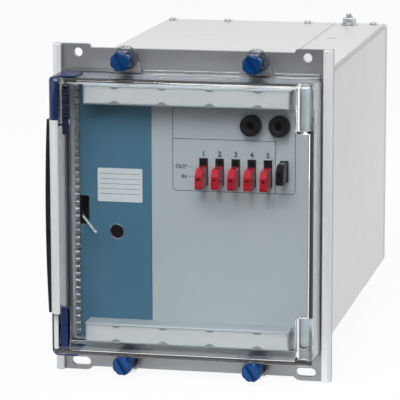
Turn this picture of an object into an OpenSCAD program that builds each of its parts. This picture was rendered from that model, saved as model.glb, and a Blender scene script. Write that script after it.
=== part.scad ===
// Panel-mounted pilot-wire protection relay with a clear screw-on cover.
// X runs to the right, Y into the panel, Z up. Y = 0 is the face that seats on the panel.

/* [Mounting frame] */
// How far the frame reaches past the sides of the case
frame_lap_x = 6; // [5.6:0.1:10]
// How far the frame's straight edges reach past the case at the top and bottom
frame_lap_z = 13; // [12:0.1:16]
// Thickness of the frame casting
frame_t = 3; // [2.6:0.1:4]
// How far the frame laps over the front of the case at the sides of its opening
window_lap_x = 6; // [5:0.1:6.2]
// How far the frame laps over the front of the case above and below its opening
window_lap_z = 5.5; // [4.5:0.1:8]
// Distance of the panel fixings from the sides of the frame
fixing_in_x = 13.5; // [12:0.1:17]
// Distance of the panel fixings from the frame's straight top and bottom edges
fixing_in_z = 2.5; // [1.5:0.1:4]
// Diameter of the panel fixing holes, and width of the slots
fixing_d = 4.8; // [4.2:0.1:5.2]
// End-to-end length of the lower fixing slots
fixing_slot = 10.5; // [8:0.5:12]
// Material left around a fixing hole in its ear
ear_wall = 2.1; // [1.8:0.1:2.6]
// Width of the side trims that edge the frame
trim_w = 4.8; // [4:0.1:5]
// How far the side trims stand in front of the frame
trim_t = 3; // [2:0.1:4]
// Radius of the outer front edge of the side trims
trim_r = 2.2; // [1:0.1:2.8]

/* [Case] */
// Outside width of the case behind the panel
body_w = 138; // [124:1:160]
// Outside height of the case behind the panel
body_h = 147; // [132:1:170]
// Depth of the case behind the panel
body_depth = 238; // [214:1:280]
// Thickness of the case sheet
sheet_t = 1.2; // [0.8:0.1:1.5]
// Outside radius of the bends in the case sheet
bend_r = 2.5; // [2:0.1:4]
// Distance of the sheet seam from the right side of the case
seam_in = 31.5; // [29:0.5:35]
// Diameter of the screw heads that hold the rear pan
case_screw_d = 5; // [4:0.1:6]
// Diameter of the earthing stud
earth_d = 4; // [3:0.5:5]
// Distance of the earthing stud from the right side of the case
earth_in_x = 21.8; // [17:0.1:24]
// Height of the terminal blocks on the rear
block_h = 118; // [100:1:124]
// Width of each terminal block
block_w = 30; // [28:1:36]
// Rows of terminals on each block
block_rows = 7; // [5:1:8]

/* [Relay element] */
// Clearance between the sides of the front plate and the cover
plate_gap_x = 2.1; // [1:0.1:3]
// Clearance between the top and bottom of the front plate and the cover
plate_gap_z = 0.6; // [0.4:0.1:2]
// Thickness of the front plate
plate_t = 2; // [1.5:0.1:3]
// Thickness of the two fascia sheets
fascia_t = 1; // [0.6:0.1:1.5]
// Width of the blue fascia sheet
blue_w = 39.1; // [37:0.1:42]
// Length of the pull handles
handle_l = 110; // [104:1:114]
// Height of the front of a handle
handle_h = 11; // [10:0.5:12]
// How far the handles stand out from the fascia
handle_d = 12; // [11:0.5:13]
// Wall thickness of the handles
handle_wall = 1.8; // [1.4:0.1:2.2]
// Distance of the middle of a handle from the edge of the front plate
handle_edge = 7; // [6.4:0.1:9]
// Diameter of the test sockets
socket_d = 11.2; // [10:0.1:12.5]
// Distance between the two test sockets
socket_pitch = 15.1; // [14:0.1:16]
// Bore of the test sockets
socket_bore = 4; // [3.5:0.1:4.2]
// Distance from one setting link to the next
link_pitch = 8.6; // [8.2:0.1:9]
// Width of a link
link_w = 3.9; // [3.4:0.1:4.6]
// Height of a link
link_h = 10.6; // [10:0.1:11]
// How far the links stand out from the fascia
link_d = 14; // [12:0.5:15]
// Diameter of the link pins
link_pin_d = 1.8; // [1.4:0.1:2]
// How far the link pins reach into their sockets
link_pin_l = 6; // [5:0.1:6.4]
// Diameter of the reset lever
lever_d = 1.7; // [1.4:0.1:2]
// Diameter of the indicator hole
indicator_d = 7.6; // [6.5:0.1:8]

/* [Cover] */
// How far the clear cover reaches past the case on each side
cover_lap = 0.5; // [0.2:0.1:0.9]
// How far the cover stands in front of the frame
cover_d = 28.5; // [27:0.5:32]
// Wall thickness of the cover
cover_t = 2.4; // [2:0.1:2.6]
// Corner radius of the cover seen from the front
cover_r = 2.5; // [2:0.1:4]
// Radius of the rounded edge round the cover's front
cover_edge_r = 3; // [2.6:0.1:4]
// Thickness of the rubber seal under the cover
seal_t = 1.5; // [1:0.1:2]
// Radius of the moulded pillars in the corners of the cover
pillar_r = 4.8; // [4:0.1:5.5]
// Length of the moulded corner pillars
pillar_l = 25.5; // [20:0.5:30]
// Rise of the bowed grip along the cover's left edge
grip_rise = 1.2; // [1:0.1:2]
// Thickness of the navy corner clips on the cover
clip_t = 1; // [0.8:0.1:1.5]
// Thickness of the grip at its ends
grip_end_t = 2.6; // [2:0.1:3]
// Distance between the left and right thumbscrews
thumb_pitch_x = 70; // [66:0.5:76]
// Distance of the thumbscrews from the top and bottom of the cover
thumb_reach = 7.5; // [7:0.1:8]
// Diameter of the thumbscrew heads
thumb_d = 10.8; // [10:0.1:12]
// Length of the thumbscrew heads
thumb_l = 12; // [10:0.5:14]
// Diameter of the thumbscrew threads
thumb_thread_d = 3.9; // [3:0.1:4.2]

/* [Hidden] */
$fn = 48;

// Clearances
sheet_fit = 0.2;
seam_gap = 0.3;
running_fit = 0.05;
hole_fit = 0.3;
seat_gap = 0.2;
cut = 1;

// Main sizes, all from the case
frame_w = body_w + 2 * frame_lap_x;
frame_h = body_h + 2 * frame_lap_z;
window_w = body_w - 2 * window_lap_x;
window_h = body_h - 2 * window_lap_z;
fixing_pitch_x = frame_w - 2 * fixing_in_x;
fixing_pitch_z = frame_h - 2 * fixing_in_z;
cover_w = body_w + 2 * cover_lap;
cover_h = body_h + 2 * cover_lap;
plate_w = cover_w - 2 * cover_t - 2 * plate_gap_x;
plate_h = cover_h - 2 * cover_t - 2 * plate_gap_z;
handle_pitch = plate_h - 2 * handle_edge;
thumb_pitch_z = cover_h + 2 * thumb_reach;

// Planes from the panel towards the viewer
face_y = -frame_t;
plate_y = face_y - plate_t;
fascia_y = plate_y - fascia_t;
handle_y = fascia_y - handle_d;
link_y = fascia_y - link_d;
rim_y = face_y - seal_t;
cover_y = face_y - cover_d;

// Frame
frame_rebate = 1.5;
ear_w = fixing_d + 4 * ear_wall;
ear_top = fixing_pitch_z / 2 + fixing_d / 2 + ear_wall;
ear_corner_r = 1.5;
trim_x = frame_w / 2 - trim_w;
window_r = 3;
thumb_hole_d = thumb_thread_d + 2 * running_fit;

// Case
seam_x = body_w / 2 - seam_in;
seam_strap = 8;
rear_t = 1.5;
rear_lip = 12;
rear_front_y = body_depth - rear_t;
inner_w = body_w - 2 * sheet_t;
inner_h = body_h - 2 * sheet_t;
case_screw_in = 6;
case_screw_y = body_depth - case_screw_in;
case_screw_shank = 3;
case_screw_head = 1.4;
case_screw_left = 6;
case_screw_right = 7.5;
case_screw_mid_left = 28.4;
case_screw_mid_right = 21.4;
case_screw_xs = [-body_w / 2 + case_screw_left, -case_screw_mid_left, case_screw_mid_right,
    body_w / 2 - case_screw_right];
earth_x = body_w / 2 - earth_in_x;
earth_in_y = 10;
earth_y = body_depth - earth_in_y;
earth_root_d = 0.82 * earth_d;
earth_head_d = 1.9 * earth_d;
earth_head_t = 1.2;
earth_free = 2.4;
earth_washer_d = 2.4 * earth_d;
earth_washer_t = 1.2;
earth_nut_h = 0.8 * earth_d;
earth_nut_af = 1.75 * earth_d;
top_hole_d = 5;
top_hole_in = 74;
top_hole_y = body_depth - top_hole_in;

// Terminal blocks
block_x = 30;
block_base = 10;
block_rib_t = 1.8;
block_rib_h = 3.6;
block_inset = 3;
terminal_d = 6.4;
terminal_head = 2.4;
terminal_shank_d = 3.8;
terminal_shank_l = 6;
terminal_slot_w = 1;
terminal_slot_h = 1.1;
block_row_pitch = (block_h - block_rib_t) / block_rows;
block_col_pitch = (block_w - block_rib_t) / 2;

// Fascia
fascia_margin_left = 4.9;
fascia_margin_right = 2;
fascia_margin_z = 2;
fascia_left = -plate_w / 2 + fascia_margin_left;
fascia_right = plate_w / 2 - fascia_margin_right;
fascia_h = plate_h - 2 * fascia_margin_z;
split_x = fascia_left + blue_w;
fascia_gap = 0.15;
plate_r = 3;
strip_w = 2.4;
strip_t = 0.8;
bead_r = 1.3;
bead_pitch = 3.9;
strip_gap = 0.2;
strip_x = fascia_left - strip_w - strip_gap;

// Handles and their label strips
handle_edge_r = 1.4;
handle_lip = 5;
label_recess = 0.7;
label_margin = 1.3;
label_t = 0.35;
label_tab_t = 0.3;
label_tab_r = 3.4;
label_tab_reach = 1.2;
label_tab_pitch = 25.4;
label_tab_count = 4;
label_end = 1;

// Plate, indicator and lever slot on the blue sheet
rating_w = 24.3;
rating_h = 18;
rating_t = 0.3;
rating_in = 21.9;
rating_x = fascia_left + rating_in;
rating_z = 14.1;
indicator_in = 19.9;
indicator_x = fascia_left + indicator_in;
indicator_z = -11.1;
indicator_wall = 1.2;
indicator_depth = 9;
lever_slot_w = 6.2;
lever_slot_h = 16;
lever_slot_z = -0.2;
lever_in = 1.9;
lever_x = fascia_left + lever_in;

// Test sockets
socket_in = 30.3;
socket_drop = 15.4;
socket_x = fascia_right - socket_in;
socket_z = handle_pitch / 2 - socket_drop;
socket_proud = 5;
socket_neck_d = 8;
socket_back = 8;
socket_chamfer = 0.8;
contact_wall = 0.9;
contact_back = 4;
contact_gap = 0.2;

// Links and their sockets
link_count = 5;
link_in = 55.9;
link_x = fascia_right - link_in;
link_socket_z = 22.9;
link_socket_h = 14.6;
link_socket_side = 0.3;
link_socket_w = link_w + 2 * link_socket_side;
link_socket_proud = 0.5;
link_socket_back = 9;
link_drop = (link_socket_h - link_h) / 2;
link_pin_gap = 4.6;
link_hole_d = link_pin_d + 2 * running_fit;
link_chamfer = 1.6;
link_eye_d = 1.6;
link_eye_depth = 3;
test_socket_h = 11.4;
test_socket_z = link_socket_z + (link_socket_h - test_socket_h) / 2;
link_back_y = fascia_y - link_socket_proud - seat_gap;

// Lever, worked out from its pivot
pivot_y = 12;
pivot_z = 2;
lever_elbow_out = 1.2;
lever_elbow_z = -2.9;
lever_tip_right = 9.6;
lever_tip_out = 11;
lever_tip_z = -9.8;
lever_bend_r = 2.2;
lever_bend_d = 0.94 * lever_d;
lever_bend_over = 8;
lever_hub = [lever_x, pivot_y, pivot_z];
lever_elbow = [lever_x, fascia_y - lever_elbow_out, lever_elbow_z];
lever_tip = [lever_x + lever_tip_right, fascia_y - lever_tip_out, lever_tip_z];
lever_hub_d = 4.4;
lever_hub_w = 2.8;
lever_pin_d = 2;
lever_cheek_t = 1.2;
lever_cheek_gap = 0.3;
bracket_t = 1.2;
bracket_w = 7.6;
bracket_h = 19;
lever_cheek_h = 8;

// Chassis and what it carries
tray_side_gap = 9.5;
tray_rise = 1.5;
tray_rear_gap = 22.5;
tray_w = window_w - 2 * tray_side_gap;
tray_floor = -window_h / 2 + tray_rise;
tray_top = 10;
tray_back = rear_front_y - tray_rear_gap;
tray_t = 1.2;
rail_w = 6;
rail_side = 1;
rail_x = seam_x + seam_strap + rail_w / 2 + rail_side;
rail_front = 16;
rail_gap = 0.3;
board_post_d = 5;
board_post_h = 9;
board_t = 1.6;
board_side_gap = 5.5;
board_w = tray_w - 2 * board_side_gap;
board_front = 18;
board_post_inset = 6;
board_z = tray_floor + tray_t + board_post_h;
core_w = 66;
core_d = 50;
core_h = 58;
core_in = 46;
core_y = tray_back - core_in;
core_leg = 22;
board_core_gap = 46;
board_back = core_y - board_core_gap;
core_yoke = 11;
winding_gap = 0.6;
winding_round = 4;
can_w = 30;
can_d = 36;
can_h = 44;
can_edge = 3;
can_in = 30;
can_x = board_w / 2 - can_w / 2 - can_edge;
can_y = board_back - can_in;
can_r = 3;
resistor_d = 8;
resistor_l = 34;
resistor_cap = 3;
resistor_pitch = 12;
resistor_edge = 10;
resistor_step = 1.6;
resistor_x = -board_w / 2 + resistor_edge;
resistor_y = 46;

// Cover
seal_inset = 0.2;
seal_w = cover_t - seal_inset;
lug_r = 7;
lug_t = 3;
lug_root_w = 20;
lug_hole_d = thumb_thread_d + 2 * hole_fit;
lug_y = rim_y - lug_t;
pillar_chamfer = 0.8;
pillar_x = cover_w / 2 - pillar_r;
pillar_y = cover_y + pillar_r;
cover_inner_r = 0.6;
grip_w = 5;
clip_reach_x = 13;
clip_reach_z = 22;
grip_chord = cover_h - 2 * clip_reach_z;
clip_front = cover_y + cover_edge_r;
clip_depth = 17;
clip_back = clip_front + clip_depth;
clip_front_w = 4.4;
clip_gap = 0.3;
grip_half = grip_chord / 2 - clip_gap;
grip_steps = 8;
flange_t = 1.6;
flange_h = 2;
flange_in = 0.5;
thumb_gap = 0.3;
thumb_tip_gap = 0.3;
thumb_slot_w = 1.8;
thumb_slot_depth = 2;
thumb_slot_turn = 60;
thumb_flutes = 8;
thumb_flute_r = 1.3;
thumb_dome = 1.6;
thumb_collar_d = 8.4;
thumb_collar = 1.5;

// Colours
paint_white = [0.86, 0.87, 0.87];
metal_grey = [0.52, 0.53, 0.54];
sheet_blue = [0.28, 0.43, 0.52];
sheet_grey = [0.62, 0.67, 0.69];
knob_blue = [0.08, 0.22, 0.52];
clip_blue = [0.11, 0.15, 0.36];
grip_dark = [0.07, 0.08, 0.14];
link_red = [0.76, 0.11, 0.17];
moulding_black = [0.07, 0.07, 0.08];
brass = [0.80, 0.64, 0.30];
steel = [0.72, 0.73, 0.74];

// Helpers
module slab_y(y0, y1) translate([0, y1, 0]) rotate([90, 0, 0]) linear_extrude(y1 - y0) children();
module bar_x(x0, x1) translate([x0, 0, 0]) rotate([90, 0, 90]) linear_extrude(x1 - x0) children();
module post_z(z0, z1) translate([0, 0, z0]) linear_extrude(z1 - z0) children();
module rod_y(x, z, y0, y1, d) translate([x, y1, z]) rotate([90, 0, 0]) cylinder(d = d, h = y1 - y0);
module rod_x(x0, x1, y, z, d) translate([x0, y, z]) rotate([0, 90, 0]) cylinder(d = d, h = x1 - x0);
module box(x0, x1, y0, y1, z0, z1) translate([x0, y0, z0]) cube([x1 - x0, y1 - y0, z1 - z0]);

// A turned piece that points towards the viewer from the plane y
module turned_y(x, y, z) translate([x, y, z]) rotate([90, 0, 0]) rotate_extrude() children();

module rounded_rect(w, h, r) {
    square([w - 2 * r, h], center = true);
    square([w, h - 2 * r], center = true);
    for (sx = [-1, 1], sz = [-1, 1]) translate([sx * (w / 2 - r), sz * (h / 2 - r)]) circle(r);
}

// A rectangle from the origin whose far corner (w, 0) is rounded
module rect_one_round(w, h, r) intersection() {
    square([w, h]);
    union() {
        square([w - r, h]);
        translate([0, r]) square([w, h]);
        translate([w - r, r]) circle(r);
    }
}

module stadium(l, d) {
    square([l - d, d], center = true);
    for (s = [-1, 1]) translate([s * (l - d) / 2, 0]) circle(d = d);
}

module at_thumbscrews() {
    for (sx = [-1, 1], sz = [-1, 1]) translate([sx * thumb_pitch_x / 2, 0,
        sz * thumb_pitch_z / 2]) children();
}

// Mounting frame
module frame_outline() {
    square([frame_w, frame_h], center = true);
    for (m = [0, 1]) mirror([m, 0]) {
        ear_in = fixing_pitch_x / 2 - ear_w / 2;
        ear_low = frame_h / 2 - 2 * ear_wall;
        ear_out = frame_w / 2 - ear_in;
        translate([ear_in, ear_low]) square([ear_out, ear_top - ear_low - ear_corner_r]);
        translate([ear_in + ear_corner_r, ear_low]) square([ear_out - ear_corner_r, ear_top - ear_low]);
        translate([ear_in + ear_corner_r, ear_top - ear_corner_r]) circle(ear_corner_r);
        translate([fixing_pitch_x / 2, -fixing_pitch_z / 2])
            stadium(fixing_slot + 2 * ear_wall, fixing_d + 2 * ear_wall);
        translate([fixing_pitch_x / 2, -ear_top]) square([(frame_w - fixing_pitch_x) / 2, ear_top - ear_low]);
    }
}

module mounting_frame() color(metal_grey) difference() {
    slab_y(face_y, 0) frame_outline();
    slab_y(face_y - cut, cut) rounded_rect(window_w, window_h, window_r);
    slab_y(-frame_rebate, cut)
        rounded_rect(body_w + 2 * sheet_fit, body_h + 2 * sheet_fit, bend_r + sheet_fit);
    for (sx = [-1, 1]) {
        rod_y(sx * fixing_pitch_x / 2, fixing_pitch_z / 2, face_y - cut, cut, fixing_d);
        translate([sx * fixing_pitch_x / 2, 0, -fixing_pitch_z / 2])
            slab_y(face_y - cut, cut) stadium(fixing_slot, fixing_d);
    }
    at_thumbscrews() rod_y(0, 0, face_y - cut, cut, thumb_hole_d);
}

module side_trim(side) color(paint_white)
    mirror([side < 0 ? 1 : 0, 0, 0])
        post_z(-ear_top, ear_top) translate([trim_x, face_y - trim_t]) rect_one_round(trim_w, trim_t, trim_r);

// Case
module case_tube() difference() {
    rounded_rect(body_w, body_h, bend_r);
    rounded_rect(inner_w, inner_h, bend_r - sheet_t);
}

module at_case_screws() {
    for (x = case_screw_xs, s = [-1, 1])
        mirror([0, 0, s < 0 ? 1 : 0]) translate([x, case_screw_y, body_h / 2]) children();
}

module case_screw_holes() at_case_screws() translate([0, 0, -rear_lip]) cylinder(d = case_screw_shank,
    h = 2 * rear_lip);

module case_shell() color(paint_white) difference() {
    slab_y(-frame_rebate, body_depth) {
        intersection() {
            case_tube();
            translate([-body_w, -body_h]) square([body_w + seam_x - seam_gap / 2, 2 * body_h]);
        }
        for (s = [-1, 1])
            translate([seam_x, s * (inner_h / 2 - sheet_t / 2)]) square([2 * seam_strap, sheet_t],
                center = true);
    }
    case_screw_holes();
    box(seam_x - seam_strap - cut, seam_x + seam_strap + cut, rear_front_y - rear_lip - seat_gap,
        body_depth + cut,
        inner_h / 2 - sheet_t - cut, inner_h / 2);
    box(seam_x - seam_strap - cut, seam_x + seam_strap + cut, rear_front_y - rear_lip - seat_gap,
        body_depth + cut,
        -inner_h / 2, -inner_h / 2 + sheet_t + cut);
}

module side_cover() color(paint_white) difference() {
    slab_y(-frame_rebate, body_depth) intersection() {
        case_tube();
        translate([seam_x + seam_gap / 2, -body_h]) square([body_w, 2 * body_h]);
    }
    case_screw_holes();
    earth_hole();
    translate([earth_x, top_hole_y, 0]) cylinder(d = top_hole_d, h = body_h);
}

module terminal_cutouts() for (s = [-1, 1])
    translate([s * block_x, 0]) square([block_w - 2 * block_inset, block_h - 2 * block_inset], center = true);

module rear_pan() color(paint_white) difference() {
    slab_y(rear_front_y - rear_lip, body_depth) rounded_rect(inner_w, inner_h, bend_r - sheet_t);
    slab_y(rear_front_y - rear_lip - cut, rear_front_y)
        rounded_rect(inner_w - 2 * rear_t, inner_h - 2 * rear_t, bend_r - sheet_t);
    slab_y(rear_front_y - cut, body_depth + cut) terminal_cutouts();
    case_screw_holes();
    earth_hole();
}

module guide_rails() color(steel) for (s = [-1, 1])
    box(s * rail_x - rail_w / 2, s * rail_x + rail_w / 2, rail_front, tray_back, -inner_h / 2,
        tray_floor - rail_gap);

module case_screws() color(steel) at_case_screws() {
    translate([0, 0, -sheet_t - rear_t]) cylinder(d = case_screw_shank, h = sheet_t + rear_t);
    rotate_extrude() difference() {
        rect_one_round_up(case_screw_d / 2, case_screw_head, case_screw_head / 2);
        translate([0, case_screw_head / 2]) square([case_screw_d / 8, case_screw_head]);
    }
}

// A rectangle from the origin whose far upper corner (w, h) is rounded
module rect_one_round_up(w, h, r) translate([0, h]) mirror([0, 1]) rect_one_round(w, h, r);

module terminal_block(side) color(moulding_black) translate([side * block_x, 0, 0]) difference() {
    union() {
        box(-block_w / 2, block_w / 2, body_depth, body_depth + block_base, -block_h / 2, block_h / 2);
        slab_y(rear_front_y, body_depth)
            square([block_w - 2 * block_inset - 2 * sheet_fit, block_h - 2 * block_inset - 2 * sheet_fit],
                center = true);
        for (i = [0 : block_rows]) {
            z = -block_h / 2 + i * block_row_pitch;
            box(-block_w / 2, block_w / 2, body_depth, body_depth + block_base + block_rib_h, z,
                z + block_rib_t);
        }
        box(-block_rib_t / 2, block_rib_t / 2, body_depth, body_depth + block_base + block_rib_h,
            -block_h / 2, block_h / 2);
    }
    at_terminals() rod_y(0, 0, body_depth + block_base - terminal_shank_l, body_depth + block_base + cut,
        terminal_shank_d);
}

module at_terminals() {
    for (i = [0 : block_rows - 1], s = [-1, 1])
        translate([s * block_col_pitch / 2, 0,
            -block_h / 2 + block_rib_t / 2 + (i + 0.5) * block_row_pitch]) children();
}

module terminal_screws() color(steel) for (side = [-1, 1]) translate([side * block_x, 0, 0]) at_terminals() {
    top_y = body_depth + block_base;
    rod_y(0, 0, top_y - terminal_shank_l, top_y, terminal_shank_d);
    difference() {
        rod_y(0, 0, top_y, top_y + terminal_head, terminal_d);
        box(-terminal_d, terminal_d, top_y + terminal_head - terminal_slot_h, top_y + terminal_head + cut,
            -terminal_slot_w / 2, terminal_slot_w / 2);
    }
}

module earth_hole() translate([earth_x, earth_y, 0]) cylinder(d = earth_root_d, h = body_h);

// The stud is drawn at its thread root where it is clamped, and at full size above the nut
module earth_stud() color(steel) translate([earth_x, earth_y, 0]) {
    head_z = inner_h / 2 - rear_t;
    free_z = body_h / 2 + earth_washer_t + earth_nut_h;
    translate([0, 0, head_z - earth_head_t]) cylinder(d = earth_head_d, h = earth_head_t);
    translate([0, 0, head_z - earth_head_t]) cylinder(d = earth_root_d, h = free_z - head_z + earth_head_t);
    translate([0, 0, free_z]) cylinder(d = earth_d, h = earth_free);
}

module earth_washer() color(steel) translate([earth_x, earth_y, body_h / 2]) difference() {
    cylinder(d = earth_washer_d, h = earth_washer_t);
    translate([0, 0, -cut]) cylinder(d = earth_root_d, h = earth_washer_t + 2 * cut);
}

module earth_nut() color(steel) translate([earth_x, earth_y, body_h / 2 + earth_washer_t]) difference() {
    cylinder(d = earth_nut_af / cos(30), h = earth_nut_h, $fn = 6);
    translate([0, 0, -cut]) cylinder(d = earth_root_d, h = earth_nut_h + 2 * cut);
}

// Relay element
module socket_holes(y0, y1) for (i = [0, 1])
    rod_y(socket_x + i * socket_pitch, socket_z, y0, y1, socket_neck_d);

module link_socket_outline(i) {
    is_test = i == link_count;
    translate([link_x + i * link_pitch, is_test ? test_socket_z : link_socket_z])
        square([link_socket_w, is_test ? test_socket_h : link_socket_h], center = true);
}

module lever_slot_outline() translate([lever_x, lever_slot_z]) square([lever_slot_w, lever_slot_h],
    center = true);

module front_openings(y0, y1) {
    socket_holes(y0, y1);
    slab_y(y0, y1) {
        for (i = [0 : link_count]) link_socket_outline(i);
        lever_slot_outline();
    }
    rod_y(indicator_x, indicator_z, y0, y1, indicator_d);
}

module front_plate() color(metal_grey) difference() {
    slab_y(plate_y, face_y) rounded_rect(plate_w, plate_h, plate_r);
    front_openings(plate_y - cut, face_y + cut);
}

module fascia_sheet(x0, x1) difference() {
    box(x0, x1, fascia_y, plate_y, -fascia_h / 2, fascia_h / 2);
    front_openings(fascia_y - cut, plate_y + cut);
}

module fascia_blue() color(sheet_blue) fascia_sheet(fascia_left, split_x - fascia_gap / 2);
module fascia_grey() color(sheet_grey) fascia_sheet(split_x + fascia_gap / 2, fascia_right);

// A pressed strip with a row of half-round beads, drawn as its side view
module edge_strip() color(steel) bar_x(strip_x, strip_x + strip_w) difference() {
    count = floor((fascia_h - 2 * bead_r) / bead_pitch);
    union() {
        translate([plate_y - strip_t, -fascia_h / 2]) square([strip_t, fascia_h]);
        for (i = [0 : count]) translate([plate_y - strip_t, (i - count / 2) * bead_pitch]) circle(bead_r);
    }
    translate([plate_y, -fascia_h]) square([2 * bead_r, 2 * fascia_h]);
}

// Handle profile in Y and Z, from the fascia towards the viewer
module handle_profile() translate([handle_y, -handle_h / 2]) difference() {
    union() {
        translate([handle_edge_r, 0]) square([handle_d - handle_edge_r, handle_h]);
        translate([0, handle_edge_r]) square([handle_d, handle_h - 2 * handle_edge_r]);
        for (z = [handle_edge_r, handle_h - handle_edge_r]) translate([handle_edge_r,
            z]) circle(handle_edge_r);
    }
    translate([handle_wall, handle_wall]) square([handle_d, handle_h - 2 * handle_wall]);
    translate([handle_lip, -cut]) square([handle_d, handle_wall + 2 * cut]);
    translate([-cut, label_margin]) square([label_recess + cut, handle_h - 2 * label_margin]);
}

module handle(side) color(sheet_grey) translate([0, 0, side * handle_pitch / 2]) {
    bar_x(-handle_l / 2, handle_l / 2) handle_profile();
    for (i = [0 : label_tab_count - 1], s = [-1, 1])
        translate([(i - (label_tab_count - 1) / 2) * label_tab_pitch, 0, 0]) intersection() {
            slab_y(handle_y, handle_y + label_tab_t)
                translate([0, s * (handle_h / 2 - label_margin + label_tab_r - label_tab_reach)])
                    circle(label_tab_r);
            box(-label_tab_r, label_tab_r, handle_y - cut, fascia_y, -handle_h / 2 + label_margin,
                handle_h / 2 - label_margin);
        }
}

module label_strip(side) color(paint_white) translate([0, 0, side * handle_pitch / 2])
    box(-handle_l / 2 + label_end, handle_l / 2 - label_end, handle_y + label_recess - label_t,
        handle_y + label_recess,
        -handle_h / 2 + label_margin, handle_h / 2 - label_margin);

module rating_plate() color([0.80, 0.82, 0.82])
    translate([rating_x, 0, rating_z]) slab_y(fascia_y - rating_t, fascia_y) rounded_rect(rating_w,
        rating_h, 0.6);

module indicator_lens() color([0.20, 0.03, 0.05])
    turned_y(indicator_x, face_y, indicator_z) difference() {
        rect_one_round_up(indicator_d / 2 - running_fit, plate_t, plate_t / 2);
        translate([-indicator_d, -cut]) square([indicator_d, plate_t + 2 * cut]);
    }

module indicator_holder() color(moulding_black)
    rod_y(indicator_x, indicator_z, face_y, face_y + indicator_depth, indicator_d + 2 * indicator_wall);

module test_socket(i) color(moulding_black) {
    r = socket_d / 2;
    bore = socket_bore / 2;
    turned_y(socket_x + i * socket_pitch, fascia_y, socket_z) polygon([
        [bore, -socket_back], [socket_neck_d / 2, -socket_back], [socket_neck_d / 2, 0], [r, 0],
        [r, socket_proud - socket_chamfer], [r - socket_chamfer, socket_proud],
        [bore + socket_chamfer, socket_proud], [bore, socket_proud - socket_chamfer]]);
}

// Sprung tubes behind the sockets that grip a test plug
module socket_contacts() color(brass) for (i = [0, 1])
    translate([socket_x + i * socket_pitch, 0, socket_z]) difference() {
        contact_y = fascia_y + socket_back;
        rod_y(0, 0, contact_y, contact_y + contact_back, socket_bore + 2 * contact_gap + 2 * contact_wall);
        rod_y(0, 0, contact_y - cut, contact_y + contact_back + cut, socket_bore + 2 * contact_gap);
    }

// Middle of the link in socket i
function link_z(i) = i == link_count ? test_socket_z : link_socket_z - link_drop;

// Contact holes: a setting link has an upper row of holes as well, for its other position
module link_socket(i) color(moulding_black) difference() {
    slab_y(fascia_y - link_socket_proud, fascia_y + link_socket_back) link_socket_outline(i);
    for (k = i == link_count ? [-1, 1] : [-1, 1, 3])
        rod_y(link_x + i * link_pitch, link_z(i) + k * link_pin_gap / 2, fascia_y - link_socket_proud - cut,
            link_back_y + link_pin_l + seat_gap, link_hole_d);
}

module link_sockets() for (i = [0 : link_count - 1]) link_socket(i);
module test_link_socket() link_socket(link_count);

// Side view of a link: its front upper and lower edges are cut back
module link_profile() polygon([
    [link_back_y, -link_h / 2], [link_y + link_chamfer / 2, -link_h / 2], [link_y,
        -link_h / 2 + link_chamfer / 2],
    [link_y, link_h / 2 - 2 * link_chamfer], [link_y + 2 * link_chamfer, link_h / 2], [link_back_y,
        link_h / 2]]);

module link_body(i) translate([link_x + i * link_pitch, 0, link_z(i)]) difference() {
    bar_x(-link_w / 2, link_w / 2) link_profile();
    rod_y(0, 0, link_y - cut, link_y + link_eye_depth, link_eye_d);
}

module link(i) color(link_red) link_body(i);
module test_link() color(moulding_black) link_body(link_count);

module link_pins(i) color(brass) for (s = [-1, 1])
    rod_y(link_x + i * link_pitch, link_z(i) + s * link_pin_gap / 2, link_back_y, link_back_y + link_pin_l,
        link_pin_d);

// Chassis and what it carries
module tray_profile() difference() {
    translate([0, tray_floor + window_h / 2]) rounded_rect(tray_w, window_h, bend_r);
    translate([0, tray_floor + window_h / 2]) rounded_rect(tray_w - 2 * tray_t, window_h - 2 * tray_t,
        bend_r - tray_t);
    translate([-tray_w, tray_top]) square([2 * tray_w, window_h]);
}

module at_board_posts() {
    for (sx = [-1, 1], y = [board_front + board_post_inset, board_back - board_post_inset])
        translate([sx * (board_w / 2 - board_post_inset), y, 0]) children();
}

module chassis_tray() color(steel) {
    slab_y(face_y, tray_back) tray_profile();
    at_board_posts() translate([0, 0, tray_floor + tray_t / 2]) cylinder(d = board_post_d,
        h = board_post_h + tray_t / 2);
}

module circuit_board() color([0.10, 0.30, 0.16])
    box(-board_w / 2, board_w / 2, board_front, board_back, board_z, board_z + board_t);

module transformer_core() color([0.35, 0.34, 0.33]) translate([0, core_y, tray_floor + tray_t]) difference() {
    box(-core_w / 2, core_w / 2, -core_d / 2, core_d / 2, 0, core_h);
    for (s = [-1, 1])
        box(s * (core_w / 2 + core_leg / 2 - core_yoke) / 2 - core_window() / 2,
            s * (core_w / 2 + core_leg / 2 - core_yoke) / 2 + core_window() / 2,
            -core_d, core_d, core_yoke, core_h - core_yoke);
}

// Width of each winding window in the core
function core_window() = core_w / 2 - core_leg / 2 - core_yoke;

module transformer_winding() color([0.55, 0.33, 0.16]) translate([0, core_y, tray_floor + tray_t])
    post_z(core_yoke + winding_gap, core_h - core_yoke - winding_gap) difference() {
        rounded_rect(core_leg + 2 * core_window() - 2 * winding_gap, core_d + 2 * core_window(),
            winding_round);
        square([core_leg + 2 * winding_gap, core_d + 2 * winding_gap], center = true);
    }

module polarised_relay() color([0.70, 0.71, 0.70]) translate([can_x, can_y, 0])
    post_z(board_z + board_t, board_z + board_t + can_h) rounded_rect(can_w, can_d, can_r);

module padding_resistors() color([0.36, 0.42, 0.34]) for (i = [0 : link_count - 1])
    translate([resistor_x + i * resistor_pitch, resistor_y,
        board_z + board_t + resistor_d / 2]) rotate([90, 0, 0]) {
        translate([0, 0, -resistor_l / 2]) cylinder(d = resistor_d, h = resistor_l);
        for (s = [-1, 1]) translate([0, 0, s * (resistor_l + resistor_cap) / 2])
            cylinder(d = resistor_d - resistor_step, h = resistor_cap, center = true);
    }

// Reset lever
cheek_x = lever_hub_w / 2 + lever_cheek_gap;

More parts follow.
